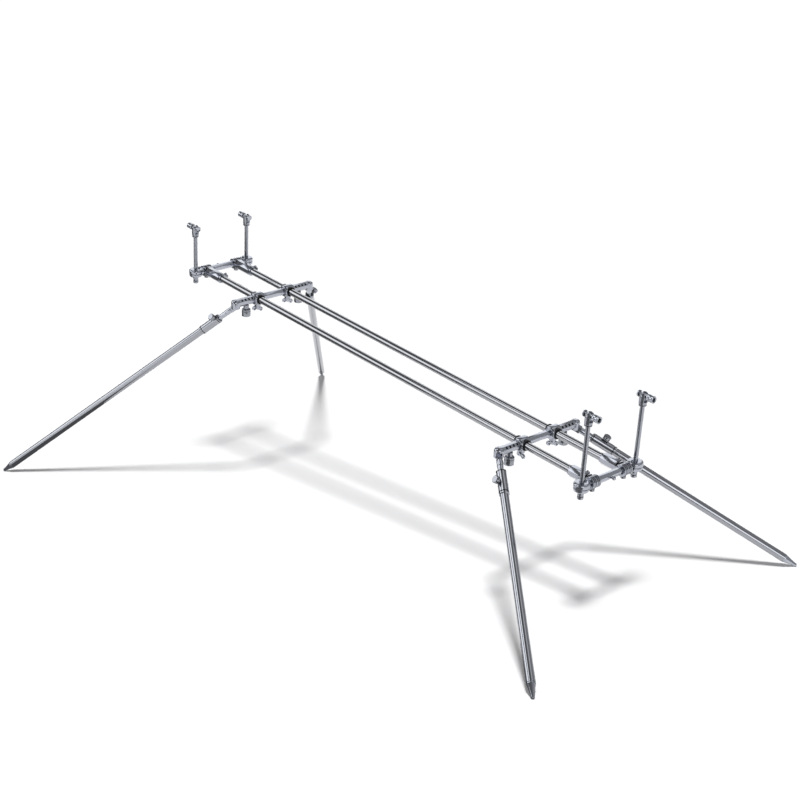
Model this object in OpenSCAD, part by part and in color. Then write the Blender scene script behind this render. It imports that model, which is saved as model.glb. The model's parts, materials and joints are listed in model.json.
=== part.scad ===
// Twin bar rod pod with two buzz bars, four tilting alarm heads and four folding spiked legs.
// Millimetres, +Z up, floor at z = 0. The main bars run along X and fall towards +X.
// The front end is -X and stands on the long legs, the left side is -Y.

/* [Frame] */
// Distance between the two buzz bars
span = 1247; // [1100:1:1400]
// Distance between the two main bars
bar_gap = 84; // [80:1:96]
// Main bar outside diameter
bar_d = 16; // [14:0.5:17]
// Main bar bore
bar_bore = 13; // [8:0.5:13]
// Fall of the bars from front to rear, in degrees
pitch = 9.1; // [4:0.1:11]
// Height of the bars above the floor at mid length
mid_height = 354.5; // [340:0.5:370]

/* [Sleeves] */
// Octagon sleeve, across flats
sleeve_af = 22; // [22:0.5:25]
// Front sleeve length from ring to mouth
front_sleeve = 52; // [46:1:60]
// Rear sleeve length from ring to mouth
rear_sleeve = 40; // [36:1:50]
// Ring round the buzz bar, outside diameter
ring_d = 24; // [23:0.5:27]
// Ring length along the buzz bar
ring_len = 20; // [16:1:22]

/* [Buzz bars] */
// Distance between the two posts of a buzz bar
post_gap = 143; // [140:1:160]
// Octagon buzz bar, across flats
buzz_af = 15; // [14:0.5:16]
// Eye outside diameter
eye_d = 31; // [28:0.5:32]
// Eye height
eye_h = 18; // [17:0.5:20]

/* [Posts] */
// Post diameter
post_d = 9; // [8:0.5:10]
// Underside of the front alarm heads above the bars
front_post = 88; // [60:1:110]
// Underside of the rear alarm heads above the bars
rear_post = 123; // [90:1:140]
// Foot under the eye, diameter
foot_d = 12; // [12:0.5:14]
// Foot height
foot_h = 16; // [10:0.5:18]

/* [Alarm heads] */
// Collar on top of the post, diameter
collar_d = 15; // [14:0.5:16]
// Fork diameter
fork_d = 16; // [16:0.5:18]
// Tilting barrel diameter
barrel_d = 8.4; // [8:0.1:9]
// Cup outside diameter
cup_d = 14; // [13:0.5:16]
// Cup length
cup_len = 16; // [12:0.5:17]
// Core of the tapped hole in the cup
thread_d = 8.4; // [8:0.1:8.6]
// Depth of the tapped hole
thread_len = 10; // [8:0.5:10]
// Thumb disc diameter
disc_d = 13; // [11:0.5:14]

/* [Crossbars] */
// Front crossbar position along the bars
front_x = -419; // [-450:1:-380]
// Rear crossbar position along the bars
rear_x = 438.5; // [380:0.5:450]
// Octagon crossbar, across flats
cross_af = 15; // [14:0.5:17]
// Saddle block, across flats and along the crossbar
saddle_w = 26; // [26:0.5:28]
// Liner between saddle and bar, outside diameter
liner_d = 22; // [21:0.5:22]
// Hinge block length
hinge_len = 57; // [56:1:64]
// Hinge block, across flats
hinge_af = 17; // [16:0.5:18]
// Round end of the hinge block, diameter
boss_d = 20; // [19:0.5:22]
// Hinge pin diameter
pin_d = 6; // [5:0.5:7]

/* [Legs] */
// Front leg, pin to tip
front_leg = 746; // [700:1:800]
// Rear leg, pin to tip
rear_leg = 509; // [480:1:560]
// Front leg direction seen from above, from the bars, in degrees
front_yaw = 42; // [38:0.5:46]
// Rear leg direction seen from above, from the bars, in degrees
rear_yaw = 34; // [30:0.5:40]
// Leg tube outside diameter
leg_d = 17; // [16:0.5:19]
// Leg tube bore
leg_bore = 12; // [11.5:0.5:12.5]
// Leg collar outside diameter
leg_collar_d = 20; // [20:0.5:22]
// Leg collar length
leg_collar_len = 54; // [40:1:60]
// Front leg, pin to collar
front_rod = 48; // [44:1:60]
// Rear leg, pin to collar
rear_rod = 38; // [36:1:50]
// Spike length below the tube
spike_len = 30; // [26:1:40]

/* [Thumb screws] */
// Lock knob diameter
knob_d = 20; // [18:0.5:21]
// Lock knob height
knob_h = 18; // [12:0.5:20]
// Round knob under each ring, diameter
tee_d = 10; // [8:0.5:12]
// Wing diameter of the saddle screws
wing_d = 10; // [8:0.5:12]
// Round knob of the leg screws, diameter
leg_knob_d = 15; // [12:0.5:16]

/* [Fits] */
// Clearance of a running fit, each side
run = 0.05; // [0.03:0.01:0.08]
// Clearance of a seated fit, each side
seat = 0.02; // [0.02:0.01:0.04]
// Clearance between faces that move past each other
air = 0.4; // [0.3:0.05:0.5]

/* [Hidden] */
$fn = 64;
front = -1;
rear = 1;
left = -1;
right = 1;
steel = "Silver";
bright = "LightGray";
dark = "DimGray";
black = "#202022";
eps = 0.01;
octagon = 1 / cos(22.5);

// Sleeve and its bolts
function sleeve_len(e) = e < 0 ? front_sleeve : rear_sleeve;
function mouth_x(e) = ring_d / 2 + sleeve_len(e);
mouth_len = 4;
mouth_d = sleeve_af - 2;
bar_stop = ring_d / 2 + 2;
ear_len = 12;
ear_y0 = bar_d / 2 - 1;
ear_y1 = bar_d / 2 + 8;
ear_z0 = -8;
ear_z1 = 6;
slit = 2;
slit_z = -2;
bolt_d = 4;
bolt_head_d = 7;
bolt_head_h = 3;
bolt_y = ear_y1 - 3.5;
facet_bolt_len = 2.2;
facet_bolt_x = bar_stop + 7;
groove_w = 1.6;
groove_t = 1;
tee_shank_d = 5;
tee_h = 6;

// Buzz bar
eye_top_d = eye_d - 4;
eye_top_h = 2;
eye_low_d = eye_d - 1;
eye_base_d = eye_d - 5;
eye_base_h = 3;
eye_groove_d = eye_d - 5;
eye_groove_h = 1.4;
eye_bolt_r = 9.5;
eye_bolt_d = 3;
eye_bolt_head_d = 5.5;
eye_bolt_head_h = 3;
eye_bolt_len = 5;
stud_d = 4;
stud_len = 5;
stud_neck = 3;
stud_ball_d = 8;

// Post and head
collar_h = 8;
fork_h = 19;
pivot_z = collar_h + 13;
pivot_d = 5;
fork_slot = barrel_d + 2 * air;
slot_floor = collar_h + 1;
disc_x = fork_d / 2 + 1;
disc_t = 3.5;
cup_x = fork_d / 2 + 1.5;

// Crossbar, saddle and hinge block
tenon_d = 9;
tenon_len = (saddle_w - liner_d) / 2 - 0.5;
cross_half = bar_gap / 2 - saddle_w / 2;
block_y = bar_gap / 2 + saddle_w / 2;
liner_len = saddle_w + 1;
lug_boss_d = 14;
lug_boss_h = 6;
screw_d = 6;
hub_d = 10;
hub_h = 8;
wing_t = 4.5;
wing_r = 7.2;
pin_y = block_y + hinge_len - boss_d / 2;
pin_z = -7;
boss_z0 = -12;
boss_z1 = hinge_af / 2 + 0.6;
lug_t = 10;
lug_r = 6.5;
leg_slot = lug_t + 2 * air;
slot_roof = pin_z + lug_r + 1.2;
slot_back = lug_r + 0.5;
pockets = 4;
pocket_y = 6;
pocket_step = 9;
pocket_l = 4;
pocket_w = 5;
pocket_t = 2.5;
lock_y = block_y + 18;
lock_shank_d = 8;
lock_neck_d = 12;
lock_neck_h = 9;
lock_flutes = 18;
flute_d = 2.2;
flute_rim = 2;

// Legs
arm_d = 13;
arm_x0 = norm([boss_d / 2, boss_z0 - pin_z]) + 2 * air;
arm_x1 = 27;
rod_d = leg_bore - 2 * run;
front_insert = 260;
rear_insert = 180;
tip_r = 3.5;
spike_shank = 20;
spike_groove = 1;
spike_rim = 2;
spike_top_d = leg_d - 1;
spike_end_d = 8;
spike_end_len = 9;
leg_screw_d = 5;
leg_neck_d = 9;
leg_neck_h = 2;
leg_knob_h = 9;
leg_flutes = 14;

// Leg screw from the upper end of its collar
function leg_screw_x(e) = e < 0 ? 9 : 26;
// Angles at which the wing screws and the leg screws stand
function wing_turn(e, s) = e > 0 && s < 0 ? -9 : 48;
function screw_turn(e, s) = e < 0 ? s * 38 : (s < 0 ? 52 : 0);

// Hinge angle that puts the tip of a leg on the floor
function cross_x(e) = e < 0 ? front_x : rear_x;
function leg_len(e) = e < 0 ? front_leg : rear_leg;
function yaw(e) = e < 0 ? 180 - front_yaw : rear_yaw;
function rod_out(e) = e < 0 ? front_rod : rear_rod;
function rod_in(e) = e < 0 ? front_insert : rear_insert;
function post_top(e) = e < 0 ? front_post : rear_post;
function pin_height(e) = mid_height - cross_x(e) * sin(pitch) + pin_z * cos(pitch);
function reach(e) = (pin_height(e) - tip_r) / (leg_len(e) - tip_r);
function lean(e) = cos(yaw(e)) * sin(pitch);
function drop(e) = asin(reach(e) / norm([lean(e), cos(pitch)])) - atan2(lean(e), cos(pitch));

// World X of the outermost point of a leg tip, before the pod is centred
function tip_run(e) = (leg_len(e) - tip_r) * cos(drop(e)) * cos(yaw(e));
function tip_fall(e) = pin_z - (leg_len(e) - tip_r) * sin(drop(e));
function tip_x(e) = (cross_x(e) + tip_run(e)) * cos(pitch) + tip_fall(e) * sin(pitch) + e * tip_r;
centre_x = (tip_x(front) + tip_x(rear)) / 2;

// Places the level pod on its legs, with the origin under the middle of its box
module pod() {
    translate([-centre_x, 0, mid_height])
        rotate([0, pitch, 0])
            children();
}

// Puts a front piece on either end, +X pointing along the bars to the middle
module end(e) {
    translate([e * span / 2, 0, 0]) {
        if (e > 0)
            mirror([1, 0, 0])
                children();
        else
            children();
    }
}

// Octagon bar along Y, centred
module octagon_y(af, len) {
    rotate([90, 0, 0])
        rotate(22.5)
            cylinder(d = af * octagon, h = len, center = true, $fn = 8);
}

// Octagon bar along X from the origin
module octagon_x(af, len) {
    rotate([0, 90, 0])
        rotate(22.5)
            cylinder(d = af * octagon, h = len, $fn = 8);
}

// Round bar along X from x0 to x1
module rod_x(d, x0, x1) {
    translate([x0, 0, 0])
        rotate([0, 90, 0])
            cylinder(d = d, h = x1 - x0);
}

// Round bar along Y, centred
module rod_y(d, len) {
    rotate([90, 0, 0])
        cylinder(d = d, h = len, center = true);
}

// Round bar along Z from z0 to z1
module rod_z(d, z0, z1) {
    translate([0, 0, z0])
        cylinder(d = d, h = z1 - z0);
}

// Main bar tube, from sleeve to sleeve
module bar_tube() {
    half = span / 2 - bar_stop - 1;
    difference() {
        rod_x(bar_d, -half, half);
        rod_x(bar_bore, -half - 1, half + 1);
    }
}

// Ring with two turned grooves round the buzz bar
module sleeve_ring() {
    difference() {
        rod_y(ring_d, ring_len);
        for (y = [-ring_len / 4, ring_len / 4])
            translate([0, y, 0])
                difference() {
                    rod_y(ring_d + 2, groove_w);
                    rod_y(ring_d - 2 * groove_t, groove_w + 1);
                }
    }
}

// Split sleeve that takes the bar end, with its ring and, at the front, clamp ears
module sleeve_body(e) {
    mouth = mouth_x(e);
    difference() {
        union() {
            sleeve_ring();
            translate([ring_d / 2 - 4, 0, 0])
                octagon_x(sleeve_af, sleeve_len(e) + 4);
            rod_x(mouth_d, mouth - 1, mouth + mouth_len);
            if (e < 0)
                translate([mouth - ear_len + 2, ear_y0, ear_z0])
                    cube([ear_len, ear_y1 - ear_y0, ear_z1 - ear_z0]);
        }
        rod_x(bar_d + 2 * seat, bar_stop, mouth + mouth_len + 1);
        octagon_y(buzz_af + 2 * seat, ring_len + 2);
        if (e < 0) {
            translate([mouth - ear_len - 2, 0, slit_z])
                cube([ear_len + mouth_len + 10, ear_y1 + 5, slit]);
            translate([mouth - ear_len / 2 + 2, bolt_y, 0])
                union() {
                    rod_z(bolt_d + 2 * seat, ear_z0 - 1, ear_z1 + 1);
                    rod_z(bolt_head_d + 2 * seat, ear_z1, sleeve_af);
                }
        }
        translate([ring_d / 2 - 0.5, -sleeve_af, bar_d / 4])
            cube([slit, 2 * sleeve_af, sleeve_af]);
        rod_z(tee_shank_d + 2 * run, -ring_d, 0);
        translate([facet_bolt_x, 0, 0])
            rotate([-45, 0, 0])
                rod_z(bolt_d + 2 * seat, bar_d / 2 + 0.3, sleeve_af);
    }
}

// Socket head bolt standing on z = 0, shank below
module bolt(d, len, head_d, head_h) {
    difference() {
        union() {
            rod_z(d, -len, eps);
            rod_z(head_d, 0, head_h);
        }
        translate([0, 0, head_h / 2])
            cylinder(d = head_d / 2, h = head_h, $fn = 6);
    }
}

// Bolts of one sleeve
module sleeve_bolts(e) {
    if (e < 0)
        translate([mouth_x(e) - ear_len / 2 + 2, bolt_y, ear_z1])
            bolt(bolt_d, ear_z1 - ear_z0, bolt_head_d, bolt_head_h);
    translate([facet_bolt_x, 0, 0])
        rotate([-45, 0, 0])
            translate([0, 0, sleeve_af / 2])
                bolt(bolt_d, facet_bolt_len, bolt_head_d, bolt_head_h);
}

// Bolts of the two eyes of one buzz bar
module eye_bolts() {
    for (s = [left, right])
        translate([0, s * (post_gap / 2 - eye_bolt_r), eye_h / 2])
            bolt(eye_bolt_d, eye_bolt_len, eye_bolt_head_d, eye_bolt_head_h);
}

// Round knob under the ring
module tee_knob() {
    rod_z(tee_shank_d, -ring_d / 2 - 1, -buzz_af / 2 - air);
    rod_z(tee_d, -ring_d / 2 - air - tee_h, -ring_d / 2 - air);
}

// Eye that holds a post, axis along Z
module eye() {
    half = eye_h / 2;
    rotate_extrude()
        polygon([
            [0, -half],
            [eye_base_d / 2, -half],
            [eye_low_d / 2, eye_base_h - half],
            [eye_low_d / 2, -eye_groove_h],
            [eye_groove_d / 2, -eye_groove_h],
            [eye_groove_d / 2, 0],
            [eye_d / 2, 0],
            [eye_d / 2, half - eye_top_h],
            [eye_top_d / 2, half],
            [0, half]]);
}

// Octagon bar with an eye at each end
module buzz_bar() {
    difference() {
        union() {
            octagon_y(buzz_af, post_gap);
            for (s = [left, right])
                translate([0, s * post_gap / 2, 0])
                    eye();
        }
        for (s = [left, right]) {
            translate([0, s * post_gap / 2, 0])
                rod_z(post_d + 2 * run, -eye_h, eye_h);
            translate([0, s * (post_gap / 2 - eye_bolt_r), 0])
                rod_z(eye_bolt_d + 2 * seat, eye_h / 2 - eye_bolt_len - 0.5, eye_h);
        }
        rod_x(stud_d + 2 * seat, -buzz_af, -buzz_af / 2 + stud_len + 0.5);
    }
}

// Ball ended screw in the middle of the buzz bar
module buzz_stud() {
    rod_x(stud_d, -buzz_af / 2 - stud_neck, -buzz_af / 2 + stud_len);
    rod_x(stud_d + 2, -buzz_af / 2 - stud_neck, -buzz_af / 2);
    translate([-buzz_af / 2 - stud_neck - stud_ball_d / 2 + 1, 0, 0])
        sphere(d = stud_ball_d);
}

// Post with its foot, collar and fork
module post(top) {
    foot_top = -eye_h / 2 - air;
    difference() {
        union() {
            rod_z(post_d, foot_top - eps, top + eps);
            rod_z(foot_d, foot_top - foot_h, foot_top);
            rod_z(collar_d, top, top + collar_h);
            rod_z(fork_d, top + collar_h - 3, top + collar_h + fork_h);
        }
        translate([-fork_d, -fork_slot / 2, top + slot_floor])
            cube([2 * fork_d, fork_slot, fork_h + collar_h]);
        translate([0, 0, top + pivot_z])
            rod_y(pivot_d + 2 * run, fork_d + 2);
    }
}

// Tilting barrel with cup, thumb disc and pivot, origin on the pivot, cup towards -X
module head() {
    difference() {
        union() {
            rod_x(barrel_d, -cup_x - 1, disc_x + 1);
            rod_x(cup_d, -cup_x - cup_len, -cup_x);
            rod_x(disc_d, disc_x, disc_x + disc_t);
            rod_y(pivot_d, fork_d - 1);
        }
        rod_x(thread_d, -cup_x - cup_len - 1, -cup_x - cup_len + thread_len);
    }
}

// Octagon bar between the two saddles
module crossbar() {
    octagon_y(cross_af, 2 * cross_half);
    rod_y(tenon_d, 2 * (cross_half + tenon_len));
}

// Faceted block round a main bar, with a boss for its screw
module saddle() {
    difference() {
        union() {
            octagon_y(saddle_w, saddle_w);
            rod_z(lug_boss_d, -saddle_w / 2 - lug_boss_h, -liner_d / 2);
        }
        rod_x(liner_d + 2 * seat, -saddle_w, saddle_w);
        rod_y(tenon_d + 2 * seat, 2 * saddle_w);
        rod_z(screw_d + 2 * run, -saddle_w, 0);
    }
}

// Bush between a saddle and its bar
module liner() {
    difference() {
        rod_x(liner_d, -liner_len / 2, liner_len / 2);
        rod_x(bar_d + 2 * run, -liner_len, liner_len);
    }
}

// Two round wings across a hub, the wings in the XZ plane
module wings(d, t, r) {
    for (x = [-r, r])
        translate([x, 0, 0])
            rod_y(d, t);
    cube([2 * r, t, d * 0.6], center = true);
}

// Wing screw under a saddle, wings at the given angle from the bar
module saddle_screw(turn) {
    top = -saddle_w / 2 - lug_boss_h - air;
    rod_z(screw_d, top - hub_h / 2, -liner_d / 2 - air);
    rod_z(hub_d, top - hub_h, top);
    translate([0, 0, top - wing_d / 2 - 1])
        rotate(turn)
            wings(wing_d, wing_t, wing_r);
}

// Slotted block with the forked round end, inner face at block_y, fork towards the given angle.
// The pockets are in the facet that is tipped from the top by the second angle.
module hinge_block(angle, tip) {
    body_len = hinge_len - boss_d / 2 - 2;
    difference() {
        union() {
            translate([0, block_y + body_len / 2, 0])
                octagon_y(hinge_af, body_len);
            translate([0, pin_y, 0])
                rod_z(boss_d, boss_z0, boss_z1);
            translate([0, block_y - tenon_len / 2, 0])
                rod_y(tenon_d, tenon_len + 2 * eps);
        }
        for (i = [0 : pockets - 1])
            rotate([0, tip, 0])
                translate([0, block_y + pocket_y + i * pocket_step, hinge_af / 2])
                    cube([pocket_w, pocket_l, 2 * pocket_t], center = true);
        translate([0, lock_y, 0])
            rod_z(lock_shank_d + 2 * run, -hinge_af, 0);
        translate([0, pin_y, 0])
            rotate(angle) {
                translate([-slot_back, -leg_slot / 2, boss_z0 - 1])
                    cube([slot_back + boss_d, leg_slot, slot_roof - boss_z0 + 1]);
                translate([0, 0, pin_z])
                    rod_y(pin_d + 2 * seat, boss_d + 2);
            }
    }
}

// Pin through the fork and the leg
module hinge_pin(e, s) {
    translate([0, s * pin_y, pin_z])
        rotate(s * yaw(e))
            rod_y(pin_d, boss_d - 2);
}

// Fluted knob standing on z = 0, with a plain rim below
module fluted(d, h, flutes) {
    difference() {
        rod_z(d, 0, h);
        for (i = [0 : flutes - 1])
            rotate(i * 360 / flutes)
                translate([d / 2 + flute_d / 4, 0, 0])
                    rod_z(flute_d, flute_rim, h + 1);
    }
}

// Fluted knob under a hinge block
module lock_knob() {
    top = -hinge_af / 2 - air;
    rod_z(lock_shank_d, top - lock_neck_h, -air);
    rod_z(lock_neck_d, top - lock_neck_h - eps, top);
    translate([0, 0, top - lock_neck_h])
        rotate([180, 0, 0])
            fluted(knob_d, knob_h, lock_flutes);
}

// Leg frame, origin on the hinge pin, +X down the leg, +Y along the pin
module leg(e, s) {
    translate([0, s * pin_y, pin_z])
        rotate([0, 0, s * yaw(e)])
            rotate([0, drop(e), 0])
                children();
}

// Lug and rod that slides in the tube
module leg_arm(e) {
    difference() {
        union() {
            rod_y(2 * lug_r, lug_t);
            translate([0, -lug_t / 2, -lug_r])
                cube([arm_x0 + 1, lug_t, 2 * lug_r]);
            rod_x(arm_d, arm_x0, arm_x1);
            rod_x(rod_d, arm_x1 - 1, rod_out(e) + rod_in(e));
        }
        rod_y(pin_d + 2 * run, 2 * lug_t);
    }
}

// Tube with its thick collar
module leg_tube(e, s) {
    x0 = rod_out(e);
    x1 = leg_len(e) - spike_len;
    difference() {
        union() {
            rod_x(leg_d, x0 + 1, x1);
            rod_x(leg_collar_d, x0, x0 + leg_collar_len);
        }
        rod_x(leg_bore, x0 - 1, x1 + 1);
        translate([x0 + leg_screw_x(e), 0, 0])
            rotate([screw_turn(e, s), 0, 0])
                rod_z(leg_screw_d + 2 * run, leg_bore / 4, leg_collar_d);
    }
}

// Ground spike pressed into the tube
module spike(e) {
    x0 = leg_len(e) - spike_len;
    cone_x = x0 + spike_groove + spike_rim;
    end_x = leg_len(e) - spike_end_len;
    rod_x(leg_bore - 2 * seat, x0 - spike_shank, x0 + eps);
    rod_x(spike_top_d - 1, x0, x0 + spike_groove + eps);
    rod_x(leg_d, x0 + spike_groove, cone_x);
    translate([cone_x - eps, 0, 0])
        rotate([0, 90, 0])
            cylinder(d1 = spike_top_d, d2 = spike_end_d, h = end_x - cone_x + 2 * eps);
    translate([end_x, 0, 0])
        rotate([0, 90, 0])
            cylinder(d1 = spike_end_d, d2 = 2 * tip_r, h = spike_end_len - tip_r);
    translate([leg_len(e) - tip_r, 0, 0])
        sphere(r = tip_r);
}

// Knob screw in a leg collar
module leg_screw(e, s) {
    base = leg_collar_d / 2 + air;
    translate([rod_out(e) + leg_screw_x(e), 0, 0])
        rotate([screw_turn(e, s), 0, 0]) {
            rod_z(leg_screw_d, leg_bore / 2 + air, base + leg_neck_h);
            rod_z(leg_neck_d, base, base + leg_neck_h + eps);
            translate([0, 0, base + leg_neck_h])
                fluted(leg_knob_d, leg_knob_h, leg_flutes);
        }
}

module main_bar_left() { color(steel) pod() translate([0, left * bar_gap / 2, 0]) bar_tube(); }
module main_bar_right() { color(steel) pod() translate([0, right * bar_gap / 2, 0]) bar_tube(); }

module at_sleeve(e, s) { pod() end(e) translate([0, s * bar_gap / 2, 0]) children(); }
module sleeve_front_left() { color(bright) at_sleeve(front, left) sleeve_body(front); }
module sleeve_front_right() { color(bright) at_sleeve(front, right) sleeve_body(front); }
module sleeve_rear_left() { color(bright) at_sleeve(rear, left) sleeve_body(rear); }
module sleeve_rear_right() { color(bright) at_sleeve(rear, right) sleeve_body(rear); }

module buzz_bar_front() { color(steel) pod() end(front) buzz_bar(); }
module buzz_bar_rear() { color(steel) pod() end(rear) buzz_bar(); }
module buzz_bar_studs() { color(bright) for (e = [front, rear]) pod() end(e) buzz_stud(); }
module clamp_bolts() {
    color(dark)
        for (e = [front, rear]) {
            pod() end(e) eye_bolts();
            for (s = [left, right])
                at_sleeve(e, s) sleeve_bolts(e);
        }
}

module tee_knob_front_left() { color(dark) at_sleeve(front, left) tee_knob(); }
module tee_knob_front_right() { color(dark) at_sleeve(front, right) tee_knob(); }
module tee_knob_rear_left() { color(dark) at_sleeve(rear, left) tee_knob(); }
module tee_knob_rear_right() { color(dark) at_sleeve(rear, right) tee_knob(); }

module at_post(e, s) { pod() end(e) translate([0, s * post_gap / 2, 0]) children(); }
module post_front_left() { color(steel) at_post(front, left) post(front_post); }
module post_front_right() { color(steel) at_post(front, right) post(front_post); }
module post_rear_left() { color(steel) at_post(rear, left) post(rear_post); }
module post_rear_right() { color(steel) at_post(rear, right) post(rear_post); }

module at_head(e, s) { at_post(e, s) translate([0, 0, post_top(e) + pivot_z]) children(); }
module head_front_left() { color(bright) at_head(front, left) head(); }
module head_front_right() { color(bright) at_head(front, right) head(); }
module head_rear_left() { color(bright) at_head(rear, left) head(); }
module head_rear_right() { color(bright) at_head(rear, right) head(); }

module at_cross(e) { pod() translate([cross_x(e), 0, 0]) children(); }
module at_saddle(e, s) { at_cross(e) translate([0, s * bar_gap / 2, 0]) children(); }
module crossbar_front() { color(steel) at_cross(front) crossbar(); }
module crossbar_rear() { color(steel) at_cross(rear) crossbar(); }
module saddle_front_left() { color(bright) at_saddle(front, left) saddle(); }
module saddle_front_right() { color(bright) at_saddle(front, right) saddle(); }
module saddle_rear_left() { color(bright) at_saddle(rear, left) saddle(); }
module saddle_rear_right() { color(bright) at_saddle(rear, right) saddle(); }
module saddle_liners_front() { color(black) for (s = [left, right]) at_saddle(front, s) liner(); }
module saddle_liners_rear() { color(black) for (s = [left, right]) at_saddle(rear, s) liner(); }
module at_wing(e, s) { at_saddle(e, s) saddle_screw(wing_turn(e, s)); }
module saddle_screw_front_left() { color(bright) at_wing(front, left); }
module saddle_screw_front_right() { color(bright) at_wing(front, right); }
module saddle_screw_rear_left() { color(bright) at_wing(rear, left); }
module saddle_screw_rear_right() { color(bright) at_wing(rear, right); }

module at_block(e, s) {
    at_cross(e)
        rotate(s < 0 ? 180 : 0)
            hinge_block(s < 0 ? 180 - yaw(e) : yaw(e), s * 45);
}
module hinge_block_front_left() { color(steel) at_block(front, left); }
module hinge_block_front_right() { color(steel) at_block(front, right); }
module hinge_block_rear_left() { color(steel) at_block(rear, left); }
module hinge_block_rear_right() { color(steel) at_block(rear, right); }
module hinge_pins_front() { color(dark) for (s = [left, right]) at_cross(front) hinge_pin(front, s); }
module hinge_pins_rear() { color(dark) for (s = [left, right]) at_cross(rear) hinge_pin(rear, s); }

module at_lock(e, s) { at_cross(e) translate([0, s * lock_y, 0]) children(); }
module lock_knob_front_left() { color(dark) at_lock(front, left) lock_knob(); }
module lock_knob_front_right() { color(dark) at_lock(front, right) lock_knob(); }
module lock_knob_rear_left() { color(dark) at_lock(rear, left) lock_knob(); }
module lock_knob_rear_right() { color(dark) at_lock(rear, right) lock_knob(); }

module at_leg(e, s) { at_cross(e) leg(e, s) children(); }
module leg_arm_front_left() { color(steel) at_leg(front, left) leg_arm(front); }
module leg_arm_front_right() { color(steel) at_leg(front, right) leg_arm(front); }
module leg_arm_rear_left() { color(steel) at_leg(rear, left) leg_arm(rear); }
module leg_arm_rear_right() { color(steel) at_leg(rear, right) leg_arm(rear); }
module leg_tube_front_left() { color(steel) at_leg(front, left) leg_tube(front, left); }
module leg_tube_front_right() { color(steel) at_leg(front, right) leg_tube(front, right); }
module leg_tube_rear_left() { color(steel) at_leg(rear, left) leg_tube(rear, left); }
module leg_tube_rear_right() { color(steel) at_leg(rear, right) leg_tube(rear, right); }
module spike_front_left() { color(bright) at_leg(front, left) spike(front); }
module spike_front_right() { color(bright) at_leg(front, right) spike(front); }
module spike_rear_left() { color(bright) at_leg(rear, left) spike(rear); }
module spike_rear_right() { color(bright) at_leg(rear, right) spike(rear); }
module leg_screw_front_left() { color(bright) at_leg(front, left) leg_screw(front, left); }
module leg_screw_front_right() { color(bright) at_leg(front, right) leg_screw(front, right); }
module leg_screw_rear_left() { color(bright) at_leg(rear, left) leg_screw(rear, left); }
module leg_screw_rear_right() { color(bright) at_leg(rear, right) leg_screw(rear, right); }

main_bar_left();
main_bar_right();
sleeve_front_left();
sleeve_front_right();
sleeve_rear_left();
sleeve_rear_right();
buzz_bar_front();
buzz_bar_rear();
clamp_bolts();
buzz_bar_studs();
tee_knob_front_left();
tee_knob_front_right();
tee_knob_rear_left();
tee_knob_rear_right();
post_front_left();
post_front_right();
post_rear_left();
post_rear_right();
head_front_left();
head_front_right();
head_rear_left();
head_rear_right();
crossbar_front();
crossbar_rear();
saddle_front_left();
saddle_front_right();
saddle_rear_left();
saddle_rear_right();
saddle_liners_front();
saddle_liners_rear();
hinge_block_front_left();
hinge_block_front_right();
hinge_block_rear_left();
hinge_block_rear_right();
hinge_pins_front();
hinge_pins_rear();
lock_knob_front_left();
lock_knob_front_right();
lock_knob_rear_left();
lock_knob_rear_right();
saddle_screw_front_left();
saddle_screw_front_right();
saddle_screw_rear_left();
saddle_screw_rear_right();
leg_arm_front_left();
leg_arm_front_right();
leg_arm_rear_left();
leg_arm_rear_right();
leg_tube_front_left();
leg_tube_front_right();
leg_tube_rear_left();
leg_tube_rear_right();
spike_front_left();
spike_front_right();
spike_rear_left();
spike_rear_right();
leg_screw_front_left();
leg_screw_front_right();
leg_screw_rear_left();
leg_screw_rear_right();
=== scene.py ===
import json
import math

import bmesh
import bpy
from mathutils import Matrix, Vector
from mathutils.bvhtree import BVHTree


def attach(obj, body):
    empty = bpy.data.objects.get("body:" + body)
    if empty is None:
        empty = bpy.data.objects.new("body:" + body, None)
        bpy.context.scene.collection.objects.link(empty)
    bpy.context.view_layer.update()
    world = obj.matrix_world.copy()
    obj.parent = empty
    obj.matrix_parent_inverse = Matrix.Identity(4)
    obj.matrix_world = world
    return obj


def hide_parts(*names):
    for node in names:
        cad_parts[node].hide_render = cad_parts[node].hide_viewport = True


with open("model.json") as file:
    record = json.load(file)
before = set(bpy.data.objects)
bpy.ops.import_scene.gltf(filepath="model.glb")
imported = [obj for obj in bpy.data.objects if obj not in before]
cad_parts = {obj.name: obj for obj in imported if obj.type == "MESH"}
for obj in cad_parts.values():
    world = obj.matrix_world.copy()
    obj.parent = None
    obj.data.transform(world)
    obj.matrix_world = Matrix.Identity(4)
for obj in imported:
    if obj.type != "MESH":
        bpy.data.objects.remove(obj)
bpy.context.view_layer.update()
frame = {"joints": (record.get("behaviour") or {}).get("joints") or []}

# Main bars: two long stainless tubes, side by side, drawn and then polished to a mirror.
# Their ends sit inside the four split sleeves, and the crossbars slide along them.
# The whole frame is laid out level, in millimetres, then pitched and lifted onto its legs.
PITCH = math.radians(9.1)
LIFT = Vector((0.0671107, 0.0, 0.3545))
POD = Matrix.Translation(LIFT) @ Matrix.Rotation(PITCH, 4, "Y") @ Matrix.Scale(0.001, 4)
SIDES = {"left": -1, "right": 1}
ENDS = {"front": -1, "rear": 1}
BAR_RADIUS = 8.0
BAR_BORE = 6.5
BAR_HALF = 608.5
BAR_GAP = 84.0


class Value:
    """One output of a shader node; arithmetic on it adds Math nodes."""

    def __init__(self, finish, socket):
        self.finish = finish
        self.socket = socket

    def combine(self, operation, a, b):
        return self.finish.add("Math", {"operation": operation}, {0: a, 1: b})

    def __add__(self, other):
        return self.combine("ADD", self, other)

    def __radd__(self, other):
        return self.combine("ADD", other, self)

    def __sub__(self, other):
        return self.combine("SUBTRACT", self, other)

    def __rmul__(self, other):
        return self.combine("MULTIPLY", other, self)


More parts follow.
